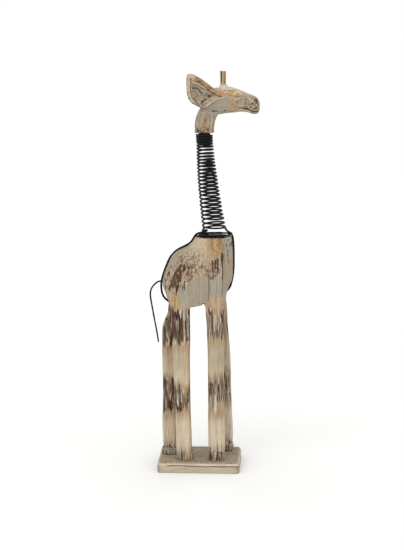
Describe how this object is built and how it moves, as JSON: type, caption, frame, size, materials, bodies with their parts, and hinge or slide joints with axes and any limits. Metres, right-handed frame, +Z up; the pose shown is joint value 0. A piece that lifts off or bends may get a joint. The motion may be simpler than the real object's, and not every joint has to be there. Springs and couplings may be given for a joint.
{
  "type": "carved giraffe statue",
  "caption": "Standing carved wooden giraffe on a rectangular base, with a springy coiled wire neck, outline wires and a wire tail.",
  "frame": {"origin": "centre of the base plate's flat underside", "axes": "+X towards the giraffe's nose, +Y towards its left side, +Z up; the outline wires and the tail lie in the plane y = 0"},
  "size_m": [0.1864, 0.095, 0.68],
  "materials": {
    "whitewashed_wood": "distressed whitewash over carved wood, matt",
    "bare_dowel_wood": "unpainted dowel",
    "black_wire": "satin black painted steel wire",
    "screw_steel": "plain steel"
  },
  "bodies": {
    "stand": {"base_plate": "whitewashed_wood", "body_with_legs": "whitewashed_wood", "leg_screw_hind_right": "screw_steel", "leg_screw_front_right": "screw_steel", "leg_screw_hind_left": "screw_steel", "leg_screw_front_left": "screw_steel", "collar_ring": "black_wire", "neck_foot_plate": "black_wire", "collar_screw_right": "black_wire", "collar_screw_left": "black_wire", "back_wire": "black_wire", "chest_wire": "black_wire", "tail_wire": "black_wire"},
    "neck": {"neck_coil": "black_wire"},
    "head": {"head_block": "whitewashed_wood", "horn_right": "whitewashed_wood", "horn_left": "whitewashed_wood", "head_peg": "bare_dowel_wood"}
  },
  "joints": [
    {"name": "neck_sway", "type": "hinge", "parent": "stand", "child": "neck", "pos_m": [0.0195, 0, 0.458], "axis": [1, 0, 0], "range_deg": [-12, 12], "stiffness_Nm_per_rad": 0.55, "deforming": ["neck_coil"]},
    {"name": "head_nod", "type": "hinge", "parent": "neck", "child": "head", "pos_m": [0.0115, 0, 0.525], "axis": [0, 1, 0], "range_deg": [-12, 14], "stiffness_Nm_per_rad": 0.55, "springref_deg": -1.72, "deforming": ["neck_coil"]}
  ]
}
